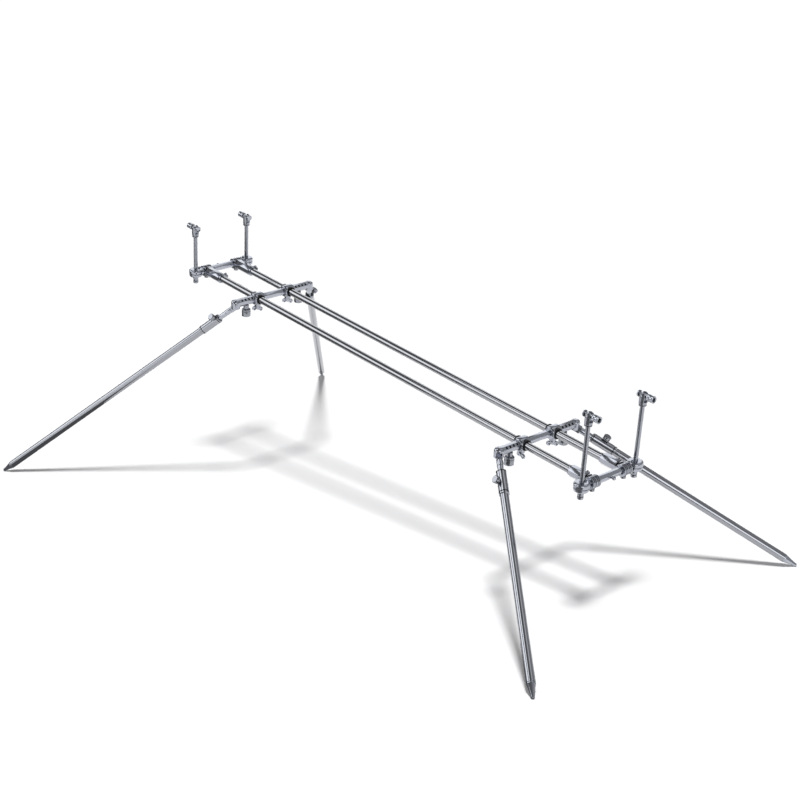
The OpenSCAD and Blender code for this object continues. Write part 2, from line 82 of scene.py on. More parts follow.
class Finish:
    """A material and its node tree."""

    def __init__(self, name):
        self.material = bpy.data.materials.new(name)
        self.material.use_nodes = True
        self.tree = self.material.node_tree
        self.tree.nodes.clear()

    def add(self, kind, settings=None, sockets=None, output=0):
        node = self.tree.nodes.new("ShaderNode" + kind)
        for key, value in (settings or {}).items():
            if key == "stops":
                ramp = node.color_ramp
                while len(ramp.elements) < len(value):
                    ramp.elements.new(1.0)
                for element, (place, colour) in zip(ramp.elements, value):
                    element.position = place
                    element.color = (*colour, 1.0)
            else:
                setattr(node, key, value)
        for key, value in (sockets or {}).items():
            if isinstance(value, Value):
                self.tree.links.new(value.socket, node.inputs[key])
            else:
                node.inputs[key].default_value = value
        return Value(self, node.outputs[output]) if node.outputs else None


# Near-black colour of the painted shade that darkens recesses.
RECESS_SHADE_COLOUR = (0.03, 0.031, 0.034, 1.0)


def steel(name, dark, light, roughness, grain, scratch=0.05):
    """Polished steel with grain lines, handling marks, brighter edges and painted shade darkening recesses.
    """
    finish = Finish(name)
    own = finish.add("Attribute", {"attribute_name": "own"}, output="Vector")
    edge = finish.add("Attribute", {"attribute_name": "edge"}, output="Fac")
    film = finish.add("Attribute", {"attribute_name": "film"}, output="Fac")
    place = finish.add("TexCoord", output="Object")
    drawn = finish.add("VectorMath", {"operation": "MULTIPLY"}, {0: own, 1: grain})
    lines = finish.add("TexNoise", None, {"Vector": drawn, "Scale": 1.0, "Detail": 2.0, "Roughness": 0.6})
    clouds = finish.add("TexNoise", None, {"Vector": place, "Scale": 26.0, "Detail": 4.0, "Roughness": 0.55})
    marks = finish.add("TexNoise", None, {"Vector": place, "Scale": 240.0, "Detail": 3.0, "Roughness": 0.7})
    worn = finish.add("ValToRGB", {"stops": [(0.56, (0, 0, 0)), (0.72, (1, 1, 1))]}, {"Fac": marks})
    tone = 0.35 * clouds + 0.45 * lines + 0.35 * edge
    clean = finish.add(
        "Mix", {"data_type": "RGBA"}, {"Factor": tone, 6: (*dark, 1.0), 7: (*light, 1.0)}, output=2)
    # Painted shade: faces noted as shut in are darkened towards a near-black colour.
    colour = finish.add(
        "Mix", {"data_type": "RGBA"},
        {"Factor": 2.6 * (film - 0.14), 6: clean, 7: RECESS_SHADE_COLOUR}, output=2)
    gloss = roughness + 0.10 * (clouds - 0.5) + 0.08 * (lines - 0.5) + 0.07 * worn - 0.04 * edge
    relief = finish.add(
        "Bump", None, {"Strength": scratch, "Distance": 0.00004, "Height": lines + 0.4 * worn})
    shader = finish.add(
        "BsdfPrincipled", None,
        {"Base Color": colour, "Roughness": gloss, "Metallic": 1.0, "Normal": relief})
    finish.add("OutputMaterial", None, {"Surface": shader})
    return finish.material


def lathe(bm, outline, axis="X", steps=48, closed=False):
    """Spins an outline of (along, radius) points round an axis."""
    turn = {"X": Matrix.Identity(3), "Y": Matrix.Rotation(math.pi / 2, 3, "Z"),
            "Z": Matrix.Rotation(-math.pi / 2, 3, "Y")}[axis]
    verts = [bm.verts.new(turn @ Vector((along, radius, 0.0))) for along, radius in outline]
    edges = [bm.edges.new(pair) for pair in zip(verts, verts[1:])]
    if closed:
        edges.append(bm.edges.new((verts[-1], verts[0])))
    bmesh.ops.spin(bm, geom=verts + edges, cent=(0, 0, 0), axis=turn @ Vector((1, 0, 0)),
                   angle=2 * math.pi, steps=steps, use_merge=True)
    bmesh.ops.remove_doubles(bm, verts=bm.verts, dist=0.0005)
    bmesh.ops.recalc_face_normals(bm, faces=bm.faces)


def break_edges(bm, width, segments=2, angle=28):
    """Takes the sharpness off every edge and marks the new faces as edge wear."""
    wear = bm.faces.layers.float.get("edge") or bm.faces.layers.float.new("edge")
    limit = math.radians(angle)
    sharp = [e for e in bm.edges if len(e.link_faces) == 2 and e.calc_face_angle() > limit]
    made = bmesh.ops.bevel(bm, geom=sharp, offset=width, offset_type="OFFSET", affect="EDGES",
                           segments=segments, profile=0.5, clamp_overlap=True, material=-1)
    for face in made["faces"]:
        face[wear] = 1.0


def shade_recesses(bm, reach=4.0, rays=16):
    """Notes on each face how shut in it is, for painted shade that darkens slots and corners."""
    film = bm.faces.layers.float.get("film") or bm.faces.layers.float.new("film")
    bm.normal_update()
    tree = BVHTree.FromBMesh(bm)
    golden = math.pi * (3 - math.sqrt(5))
    for face in bm.faces:
        frame_of_face = face.normal.to_track_quat("Z", "X")
        start = face.calc_center_median() + 0.02 * face.normal
        shut = 0
        for i in range(rays):
            rise = (i + 0.5) / rays
            flat = math.sqrt(1 - rise * rise)
            ray = Vector((flat * math.cos(golden * i), flat * math.sin(golden * i), rise))
            shut += tree.ray_cast(start, frame_of_face @ ray, reach)[0] is not None
        face[film] = shut / rays


def fit(shape, node, place, body, paint):
    """Puts a copy of a shape where its CAD node is, to ride on the body and stand for the node."""
    bm = shape.copy()
    own = bm.verts.layers.float_vector.new("own")
    for vert in bm.verts:
        vert[own] = vert.co * 0.001
    for note in ("edge", "film"):
        if not bm.faces.layers.float.get(note):
            bm.faces.layers.float.new(note)
    bm.transform(place)
    if place.determinant() < 0:
        bmesh.ops.reverse_faces(bm, faces=bm.faces)
    mesh = bpy.data.meshes.new(node + ".detail")
    bm.to_mesh(mesh)
    bm.free()
    mesh.shade_smooth()
    mesh.set_sharp_from_angle(angle=math.radians(22))
    mesh.materials.append(paint)
    piece = bpy.data.objects.new(node + ".detail", mesh)
    bpy.context.scene.collection.objects.link(piece)
    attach(piece, body)
    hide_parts(node)


bar_steel = steel("mirror_polished_bar", (0.31, 0.315, 0.333), (0.41, 0.417, 0.437), 0.07, (25, 2600, 2600))
bar = bmesh.new()
lathe(bar, [(-BAR_HALF, BAR_BORE), (-BAR_HALF, BAR_RADIUS), (BAR_HALF, BAR_RADIUS), (BAR_HALF, BAR_BORE)],
      steps=64, closed=True)
break_edges(bar, width=0.4)
for side, sign in SIDES.items():
    fit(bar, "main_bar_" + side, POD @ Matrix.Translation((0, sign * BAR_GAP / 2, 0)), "frame", bar_steel)

# Sleeves: milled octagonal clamps with a grooved ring that turns round the buzz bar.
# The longer front ones end in a slit pair of ears, whose bolt closes them on the bar.
END_X = 623.5
SLEEVE_AF = 22.0
SLEEVE_START = 8.0
SLEEVE_MOUTH = {"front": 64.0, "rear": 52.0}
LIP_LENGTH = 4.0
LIP_RADIUS = 10.0
LIP_LAP = 1.0
RING_RADIUS = 12.0
RING_HALF = 10.0
RING_BORE = 7.9
GROOVE_AT = (2.6, 6.2)
GROOVE_HALF = 0.7
GROOVE_DEPTH = 0.9
BAR_SEAT = 8.25
BAR_STOP = 14.0
EAR_LOW = Vector((-10.0, 7.0, -8.0))
EAR_HIGH = Vector((2.0, 16.0, 6.0))
SLIT_LOW = Vector((-14.0, 0.0, -2.0))
SLIT_HIGH = Vector((14.0, 21.0, 0.0))
NECK_LOW = Vector((11.5, -22.0, 4.0))
NECK_HIGH = Vector((13.5, 22.0, 26.0))


def prism(bm, across_flats, start, stop, axis="X", sides=8):
    """Adds a bar of regular section, one flat on top, along an axis."""
    radius = across_flats / 2 / math.cos(math.pi / sides)
    turn = {"X": Matrix.Rotation(math.pi / 2, 4, "Y"), "Y": Matrix.Rotation(-math.pi / 2, 4, "X"),
            "Z": Matrix.Identity(4)}[axis]
    shift = Matrix.Translation((0, 0, (start + stop) / 2))
    bmesh.ops.create_cone(bm, cap_ends=True, segments=sides, radius1=radius, radius2=radius,
                          depth=stop - start, matrix=turn @ shift @ Matrix.Rotation(math.pi / sides, 4, "Z"))


def box(bm, low, high):
    """Adds a square block between two corners."""
    shape = Matrix.Translation((low + high) / 2) @ Matrix.Diagonal((*(high - low), 1))
    bmesh.ops.create_cube(bm, size=1.0, matrix=shape)


def carve(bm, cutter):
    """Unites the overlapping shells of a shape and cuts another shape out of them."""
    pair = []
    for source in (bm, cutter):
        mesh = bpy.data.meshes.new("carving")
        source.to_mesh(mesh)
        source.free()
        pair.append(bpy.data.objects.new("carving", mesh))
        bpy.context.scene.collection.objects.link(pair[-1])
    cut = pair[0].modifiers.new("cut", "BOOLEAN")
    cut.operation = "DIFFERENCE"
    cut.solver = "EXACT"
    cut.use_self = True
    cut.object = pair[1]
    result = bmesh.new()
    result.from_object(pair[0], bpy.context.evaluated_depsgraph_get())
    for spent in pair:
        mesh = spent.data
        bpy.data.objects.remove(spent)
        bpy.data.meshes.remove(mesh)
    bmesh.ops.remove_doubles(result, verts=result.verts, dist=0.001)
    return result


def at_end(end, y=0.0, z=0.0):
    """Frame of a piece on the front or rear buzz bar, +X pointing along the bars to the middle."""
    place = POD @ Matrix.Translation((ENDS[end] * END_X, y, z))
    if ENDS[end] > 0:
        place = place @ Matrix.Scale(-1, 4, (1, 0, 0))
    return place


milled_steel = steel("milled_sleeve", (0.33, 0.343, 0.385), (0.50, 0.519, 0.577), 0.14, (900, 900, 60))
ring_outline = [(-RING_HALF, RING_BORE), (-RING_HALF, RING_RADIUS)]
for middle in (-GROOVE_AT[1], -GROOVE_AT[0], GROOVE_AT[0], GROOVE_AT[1]):
    before, after = middle - GROOVE_HALF, middle + GROOVE_HALF
    ring_outline += [(before, RING_RADIUS), (before, RING_RADIUS - GROOVE_DEPTH),
                     (after, RING_RADIUS - GROOVE_DEPTH), (after, RING_RADIUS)]
ring_outline += [(RING_HALF, RING_RADIUS), (RING_HALF, RING_BORE)]
for end in ENDS:
    mouth = SLEEVE_MOUTH[end]
    lip = mouth + LIP_LENGTH
    sleeve = bmesh.new()
    lathe(sleeve, ring_outline, axis="Y", closed=True)
    prism(sleeve, SLEEVE_AF, SLEEVE_START, mouth)
    lathe(sleeve, [(mouth - LIP_LAP, 0), (mouth - LIP_LAP, LIP_RADIUS), (lip, LIP_RADIUS), (lip, 0)])
    cuts = bmesh.new()
    box(cuts, NECK_LOW, NECK_HIGH)
    prism(cuts, 2 * BAR_SEAT, BAR_STOP, lip + LIP_LENGTH, sides=64)
    prism(cuts, 2 * RING_BORE, -2 * RING_HALF, 2 * RING_HALF, axis="Y", sides=64)
    if end == "front":
        at_mouth = Vector((mouth, 0, 0))
        box(sleeve, at_mouth + EAR_LOW, at_mouth + EAR_HIGH)
        box(cuts, at_mouth + SLIT_LOW, at_mouth + SLIT_HIGH)
    sleeve = carve(sleeve, cuts)
    break_edges(sleeve, width=0.5)
    shade_recesses(sleeve)
    for side, sign in SIDES.items():
        fit(sleeve, f"sleeve_{end}_{side}", at_end(end, sign * BAR_GAP / 2), "frame", milled_steel)

# Buzz bars: octagonal bars across each end, with a turned eye at both tips for the posts.
# Each eye has a groove turned in it at mid height and a bolt that holds the post.
BUZZ_AF = 15.0
POST_GAP = 143.0
EYE_HALF = 9.0
EYE_RADIUS = 15.5
EYE_LOW_RADIUS = 15.0
EYE_BORE = 4.6
EYE_ROUND = 4.0
EYE_GROOVE_RADIUS = 13.0
EYE_GROOVE = 1.4


def corner(along, radius, size, start, stop, steps=7):
    """Points of a rounded corner of a turned outline, about its centre, angles from the axis."""
    angles = [math.radians(start + (stop - start) * i / steps) for i in range(steps + 1)]
    return [(along + size * math.cos(a), radius + size * math.sin(a)) for a in angles]


def gather(bm, shape, place=Matrix.Identity(4)):
    """Adds a placed copy of one shape to another."""
    mesh = bpy.data.meshes.new("gathered")
    shape.to_mesh(mesh)
    mesh.transform(place)
    if place.determinant() < 0:
        mesh.flip_normals()
    bm.from_mesh(mesh)
    bpy.data.meshes.remove(mesh)


buzz_steel = steel("milled_buzz_bar", (0.36, 0.374, 0.421), (0.54, 0.56, 0.62), 0.13, (1500, 60, 1500))
buzz_bar = bmesh.new()
prism(buzz_bar, BUZZ_AF, -POST_GAP / 2, POST_GAP / 2, axis="Y")
eye = bmesh.new()
upper = corner(EYE_HALF - EYE_ROUND, EYE_RADIUS - EYE_ROUND, EYE_ROUND, 0, 90)
lower = corner(EYE_ROUND - EYE_HALF, EYE_LOW_RADIUS - EYE_ROUND, EYE_ROUND, 90, 180)
groove = [(0.0, EYE_RADIUS), (0.0, EYE_GROOVE_RADIUS), (-EYE_GROOVE, EYE_GROOVE_RADIUS),
          (-EYE_GROOVE, EYE_LOW_RADIUS)]
lathe(eye, [(EYE_HALF, EYE_BORE)] + upper + groove + lower + [(-EYE_HALF, EYE_BORE)], axis="Z", steps=56,
      closed=True)
for sign in SIDES.values():
    gather(buzz_bar, eye, Matrix.Translation((0, sign * POST_GAP / 2, 0)))
break_edges(buzz_bar, width=0.4)
shade_recesses(buzz_bar)
for end in ENDS:
    fit(buzz_bar, "buzz_bar_" + end, at_end(end), "frame", buzz_steel)

# Clamp bolts: small socket head screws, two in a front sleeve, one in a rear sleeve and in each eye.
# Their heads are left as turned, with a hexagon socket, and look darker than the clamps.
SLEEVE_BOLT = {"shank": 2.0, "length": 14.0, "head": 3.5, "height": 3.0}
EYE_BOLT = {"shank": 1.5, "length": 5.0, "head": 2.75, "height": 3.0}
FACET_BOLT = {**SLEEVE_BOLT, "length": 2.2}
EYE_BOLT_AT = 9.5
EAR_BOLT_BACK = 4.0
EAR_BOLT_Y = 12.5
FACET_BOLT_X = 21.0


def socket_bolt(shank, length, head, height):
    """Cap screw standing on z = 0 with its shank below."""
    bolt = bmesh.new()
    lathe(bolt, [(-length, 0), (-length, shank), (0, shank), (0, head), (height, head), (height, 0)],
          axis="Z", steps=32)
    key = bmesh.new()
    prism(key, head, height / 2, height * 1.5, axis="Z", sides=6)
    bolt = carve(bolt, key)
    break_edges(bolt, width=0.25)
    return bolt


dark_steel = steel("turned_fastener", (0.20, 0.206, 0.226), (0.36, 0.37, 0.405), 0.2, (700, 700, 700))
sleeve_bolt = socket_bolt(**SLEEVE_BOLT)
eye_bolt = socket_bolt(**EYE_BOLT)
facet_bolt = socket_bolt(**FACET_BOLT)
bolts = bmesh.new()
for end, sign in ENDS.items():
    flip = Matrix.Translation((sign * END_X, 0, 0)) @ Matrix.Scale(-sign, 4, (1, 0, 0))
    for side in SIDES.values():
        bar_y = side * BAR_GAP / 2
        eye_y = side * (POST_GAP / 2 - EYE_BOLT_AT)
        if end == "front":
            ear_top = (SLEEVE_MOUTH[end] - EAR_BOLT_BACK, bar_y + EAR_BOLT_Y, EAR_HIGH.z)
            gather(bolts, sleeve_bolt, flip @ Matrix.Translation(ear_top))
        facet = Matrix.Rotation(-math.pi / 4, 4, "X") @ Matrix.Translation((0, 0, SLEEVE_AF / 2))
        gather(bolts, facet_bolt, flip @ Matrix.Translation((FACET_BOLT_X, bar_y, 0)) @ facet)
        gather(bolts, eye_bolt, flip @ Matrix.Translation((0, eye_y, EYE_HALF)))
fit(bolts, "clamp_bolts", POD, "frame", dark_steel)

# Buzz bar studs: a short ball ended screw in the outer face of each buzz bar, at the middle.
# Turned from bright bar and screwed home against its flange.
STUD_OUTLINE = [(-2.5, 0), (-2.5, 2.0), (-7.5, 2.0), (-7.5, 3.0), (-10.0, 3.0), (-10.4, 2.2)]
STUD_BALL = 4.0
STUD_BALL_AT = -13.5
turned_steel = steel("turned_bright", (0.36, 0.373, 0.415), (0.56, 0.58, 0.64), 0.1, (1600, 160, 160))
studs = bmesh.new()
ball = [(STUD_BALL_AT - STUD_BALL * math.cos(math.radians(a)), STUD_BALL * math.sin(math.radians(a)))
        for a in range(140, -1, -10)]
stud = bmesh.new()
lathe(stud, STUD_OUTLINE + ball, steps=32)
break_edges(stud, width=0.25)
for sign in ENDS.values():
    gather(studs, stud, Matrix.Translation((sign * END_X, 0, 0)) @ Matrix.Scale(-sign, 4, (1, 0, 0)))
fit(studs, "buzz_bar_studs", POD, "frame", turned_steel)

# Ring knobs: a small knurled thumb screw under each ring, which locks the sleeve's angle.
# Turned and knurled from steel rod.
TEE_RADIUS = 5.0
TEE_TOP = -12.4
TEE_BOTTOM = -18.4
TEE_SHANK = 2.5
TEE_SHANK_TOP = -8.0
TEE_LAP = 1.0
TEE_RIM = 0.5
TEE_RIBS = 14


def knurled(bm, radius, bottom, top, ribs, depth):
    """Adds a round knob along Z with rounded flutes all round and chamfered rims."""
    made = bmesh.ops.create_cone(bm, cap_ends=True, segments=ribs * 4, radius1=radius, radius2=radius,
                                 depth=top - bottom, matrix=Matrix.Translation((0, 0, (top + bottom) / 2)))
    verts = made["verts"]
    caps = [f for f in bm.faces if len(f.verts) == ribs * 4 and set(f.verts) <= set(verts)]
    for cap in caps:
        bmesh.ops.inset_region(bm, faces=[cap], thickness=radius * 0.12, depth=radius * 0.1,
                               use_even_offset=True)
    for vert in verts:
        wave = math.cos(ribs * math.atan2(vert.co.y, vert.co.x))
        vert.co.xy *= 1 + depth * (wave - 1) / 2


tee_knob = bmesh.new()
lathe(tee_knob, [(TEE_TOP - TEE_LAP, 0), (TEE_TOP - TEE_LAP, TEE_SHANK), (TEE_SHANK_TOP, TEE_SHANK),
                 (TEE_SHANK_TOP, 0)], axis="Z", steps=24)
knurled(tee_knob, TEE_RADIUS, TEE_BOTTOM + TEE_RIM, TEE_TOP - TEE_RIM, TEE_RIBS, depth=0.1)
shade_recesses(tee_knob)
for end in ENDS:
    for side, sign in SIDES.items():
        node = f"tee_knob_{end}_{side}"
        fit(tee_knob, node, at_end(end, sign * BAR_GAP / 2), node, dark_steel)

# Posts: polished rods that slide in the eyes, with a screwed foot below.
# A turned collar and a fork on top hold the tilting head on a cross pin.
POST_TOP = {"front": 88.0, "rear": 123.0}
POST_RADIUS = 4.5
FORK_SLOT = 4.6
FORK_REACH = 20.0
SLOT_FLOOR = 9.0
PIVOT_Z = 21.0
PIVOT_HOLE = 2.6
FOOT_OUTLINE = [(-25.4, 0), (-25.4, 5.0), (-24.4, 6.0), (-20.2, 6.0), (-19.8, 5.2), (-18.4, 5.2),
                (-18.0, 6.0), (-10.1, 6.0), (-9.4, 5.3), (-9.4, POST_RADIUS)]
COLLAR_OUTLINE = [(0.0, POST_RADIUS), (0.0, 6.7), (0.8, 7.5), (1.8, 7.5), (2.2, 6.8), (3.2, 6.8),
                  (3.6, 7.5), (4.6, 7.5), (5.4, 8.0), (24.5, 8.0), (27.0, 5.8), (27.0, 0)]
post_steel = steel("polished_post", (0.305, 0.316, 0.352), (0.42, 0.434, 0.48), 0.22, (2400, 2400, 30))
for end in ENDS:
    top = POST_TOP[end]
    post = bmesh.new()
    lathe(post, FOOT_OUTLINE + [(top + z, r) for z, r in COLLAR_OUTLINE], axis="Z", steps=48)
    cuts = bmesh.new()
    box(cuts, Vector((-FORK_REACH, -FORK_SLOT, top + SLOT_FLOOR)),
        Vector((FORK_REACH, FORK_SLOT, top + 2 * FORK_REACH)))
    hole = bmesh.new()
    prism(hole, 2 * PIVOT_HOLE, -FORK_REACH, FORK_REACH, axis="Y", sides=32)
    gather(cuts, hole, Matrix.Translation((0, 0, top + PIVOT_Z)))
    post = carve(post, cuts)
    break_edges(post, width=0.3)
    shade_recesses(post)
    for side, sign in SIDES.items():
        node = f"post_{end}_{side}"
        fit(post, node, at_end(end, sign * POST_GAP / 2), node, post_steel)

# Tilting heads: a barrel on a cross pin, with a threaded cup outside and a thumb disc inside.
# A bite alarm or rod rest screws into the cup, and the disc locks it there.
BARREL = 4.2
CUP_RADIUS = 7.0
CUP_MOUTH = -25.5
CUP_BACK = -9.5
THREAD_ROOT = 4.2
THREAD_CREST = 4.75
THREAD_PITCH = 1.5
THREAD_TURNS = 6
THREAD_LEAD = 0.9
THREAD_FLARE = 1.4
CUP_ROUND = 2.5
CUP_RIM = 0.6
CUP_GROOVE = [(-16.6, CUP_RADIUS), (-17.0, CUP_RADIUS - 0.5), (-18.2, CUP_RADIUS - 0.5), (-18.6, CUP_RADIUS)]
THREAD_END = [(-15.5, THREAD_ROOT), (-14.7, 0)]
PIVOT_OUTLINE = [(-7.5, 0), (-7.5, 2.1), (-7.1, 2.5), (7.1, 2.5), (7.5, 2.1), (7.5, 0)]
DISC_RADIUS = 6.5
DISC_NEAR = 9.0
DISC_FAR = 12.5
DISC_RIM = 0.5
DISC_FLUTES = 16
head = bmesh.new()
thread = [(CUP_MOUTH, CUP_RADIUS - THREAD_FLARE), (CUP_MOUTH + THREAD_LEAD, THREAD_ROOT)]
for turn in range(THREAD_TURNS):
    start = CUP_MOUTH + THREAD_LEAD + turn * THREAD_PITCH
    thread += [(start + THREAD_PITCH / 2, THREAD_CREST), (start + THREAD_PITCH, THREAD_ROOT)]
barrel = [(DISC_NEAR + DISC_RIM, 0), (DISC_NEAR + DISC_RIM, BARREL), (CUP_BACK, BARREL)]
back = corner(CUP_BACK - CUP_ROUND, CUP_RADIUS - CUP_ROUND, CUP_ROUND, 0, 90)
rim = [(CUP_MOUTH + CUP_RIM, CUP_RADIUS), (CUP_MOUTH, CUP_RADIUS - CUP_RIM)]
lathe(head, barrel + back + CUP_GROOVE + rim + thread + THREAD_END, steps=40)
lathe(head, PIVOT_OUTLINE, axis="Y", steps=32)
disc = bmesh.new()
knurled(disc, DISC_RADIUS, DISC_RIM, DISC_FAR - DISC_NEAR - DISC_RIM, DISC_FLUTES, depth=0.08)
gather(head, disc, Matrix.Translation((DISC_NEAR, 0, 0)) @ Matrix.Rotation(math.pi / 2, 4, "Y"))
break_edges(head, width=0.2)
shade_recesses(head)
for end in ENDS:
    for side, sign in SIDES.items():
        node = f"head_{end}_{side}"
        fit(head, node, at_end(end, sign * POST_GAP / 2, POST_TOP[end] + PIVOT_Z), node, turned_steel)

# Crossbars: short octagonal bars that tie the two saddles of an end together.
# Their turned tenons seat in the saddle blocks.
CROSS_AT = {"front": -419.0, "rear": 438.5}
CROSS_AF = 15.0
CROSS_HALF = 29.0
TENON_HALF = 30.5
TENON_RADIUS = 4.5
crossbar = bmesh.new()
prism(crossbar, CROSS_AF, -CROSS_HALF, CROSS_HALF, axis="Y")
lathe(crossbar, [(-TENON_HALF, 0), (-TENON_HALF, TENON_RADIUS), (TENON_HALF, TENON_RADIUS), (TENON_HALF, 0)],
      axis="Y", steps=32)
break_edges(crossbar, width=0.4)


def at_cross(end, y=0.0, z=0.0):
    """Frame of a piece on the front or rear crossbar."""
    return POD @ Matrix.Translation((CROSS_AT[end], y, z))


for end in ENDS:
    fit(crossbar, "crossbar_" + end, at_cross(end), "cross_" + end, buzz_steel)

# Saddles: faceted blocks that ride on the main bars, each with a boss below for its wing screw.
# Milled from bar and polished, so that the flat top shines.
SADDLE = 26.0
SADDLE_SHOULDER = 3.5
LINER_RADIUS = 11.0
LINER_FIT = 0.05
SCREW_BOSS = {"low": -19.0, "high": -11.0, "radius": 7.0}
SCREW_BORE = 3.1
saddle = bmesh.new()
prism(saddle, SADDLE, -SADDLE / 2, SADDLE / 2, axis="Y")
rims = [e for e in saddle.edges if all(abs(abs(v.co.y) - SADDLE / 2) < 0.01 for v in e.verts)]
bmesh.ops.bevel(saddle, geom=rims, offset=SADDLE_SHOULDER, segments=4, profile=0.5, affect="EDGES",
                material=-1)
lathe(saddle, [(SCREW_BOSS["low"], 0), (SCREW_BOSS["low"], SCREW_BOSS["radius"]),
               (SCREW_BOSS["high"], SCREW_BOSS["radius"]), (SCREW_BOSS["high"], 0)], axis="Z")
cuts = bmesh.new()
prism(cuts, 2 * (LINER_RADIUS + LINER_FIT), -SADDLE, SADDLE, sides=64)
prism(cuts, 2 * SCREW_BORE, -SADDLE, 0, axis="Z", sides=32)
saddle = carve(saddle, cuts)
break_edges(saddle, width=0.7)
shade_recesses(saddle)
for end in ENDS:
    for side, sign in SIDES.items():
        fit(saddle, f"saddle_{end}_{side}", at_cross(end, sign * BAR_GAP / 2), "cross_" + end, milled_steel)

# Saddle bushes: black moulded sleeves inside the saddles, so that steel doesn't rub on steel.
# A thin lip shows round the bar at both faces of the saddle.
LINER_HALF = 13.5
LINER_BORE = 8.05


def moulded(name, dark, light):
    """Black moulded plastic with a fine sparked grain."""
    finish = Finish(name)
    place = finish.add("TexCoord", output="Object")
    grain = finish.add("TexNoise", None, {"Vector": place, "Scale": 1800.0, "Detail": 3.0, "Roughness": 0.6})
    clouds = finish.add("TexNoise", None, {"Vector": place, "Scale": 60.0, "Detail": 3.0, "Roughness": 0.5})
    colour = finish.add(
        "Mix", {"data_type": "RGBA"},
        {"Factor": 0.6 * grain + 0.4 * clouds, 6: (*dark, 1.0), 7: (*light, 1.0)}, output=2)
    relief = finish.add("Bump", None, {"Strength": 0.25, "Distance": 0.0001, "Height": grain})
    shader = finish.add(
        "BsdfPrincipled", None,
        {"Base Color": colour, "Roughness": 0.42 + 0.2 * clouds, "Specular IOR Level": 0.2,
         "Normal": relief})
    finish.add("OutputMaterial", None, {"Surface": shader})
    return finish.material


bush_plastic = moulded("black_bush", (0.006, 0.006, 0.007), (0.022, 0.022, 0.025))
liner = bmesh.new()
lathe(liner, [(-LINER_HALF, LINER_BORE), (-LINER_HALF, LINER_RADIUS), (LINER_HALF, LINER_RADIUS),
              (LINER_HALF, LINER_BORE)], closed=True)
break_edges(liner, width=0.4)
for end in ENDS:
    both = bmesh.new()
    for sign in SIDES.values():
        gather(both, liner, Matrix.Translation((0, sign * BAR_GAP / 2, 0)))
    fit(both, "saddle_liners_" + end, at_cross(end), "cross_" + end, bush_plastic)

# Saddle screws: cast wing screws under the saddles, tightened by hand to hold the crossbar.
# Two round wings curl out from a turned hub.
HUB_OUTLINE = [(-27.4, 0), (-27.4, 3.0), (-25.4, 4.4), (-23.4, 4.4), (-22.4, 5.0), (-20.0, 5.0),
               (-19.4, 4.4), (-19.4, 3.0), (-11.4, 3.0), (-11.4, 0)]
WING_SHAPE = [(0.45, 0.0), (0.5, 0.3), (0.72, 0.55), (0.95, 0.7), (1.0, 0.8), (0.9, 0.9), (0.55, 0.975),
              (0.0, 1.0)]
WING_RADIUS = 5.0
WING_HALF = 2.25
WING_REACH = 7.2
WING_Z = -25.4
WEB_HALF = 1.0
WEB_DOWN = 2.4
WEB_UP = 3.0
WING_TURN = {"front_left": 48.0, "front_right": 48.0, "rear_left": -9.0, "rear_right": 48.0}
saddle_screw = bmesh.new()
lathe(saddle_screw, HUB_OUTLINE, axis="Z", steps=32)
wing = [(-WING_HALF * along, WING_RADIUS * out) for along, out in WING_SHAPE]
wing += [(-along, out) for along, out in reversed(wing[:-1])]
for sign in (-1, 1):
    lobe = bmesh.new()
    lathe(lobe, wing, axis="Y", steps=40)
    gather(saddle_screw, lobe, Matrix.Translation((sign * WING_REACH, 0, WING_Z)))
web = bmesh.new()
box(web, Vector((-WING_REACH, -WEB_HALF, WING_Z - WEB_DOWN)),
    Vector((WING_REACH, WEB_HALF, WING_Z + WEB_UP)))
gather(saddle_screw, web)
break_edges(saddle_screw, width=0.35)
for end in ENDS:
    for side, sign in SIDES.items():
        node = f"saddle_screw_{end}_{side}"
        turn = Matrix.Rotation(math.radians(WING_TURN[f"{end}_{side}"]), 4, "Z")
        place = at_cross(end, sign * BAR_GAP / 2) @ turn
        fit(saddle_screw, node, place, node, turned_steel)

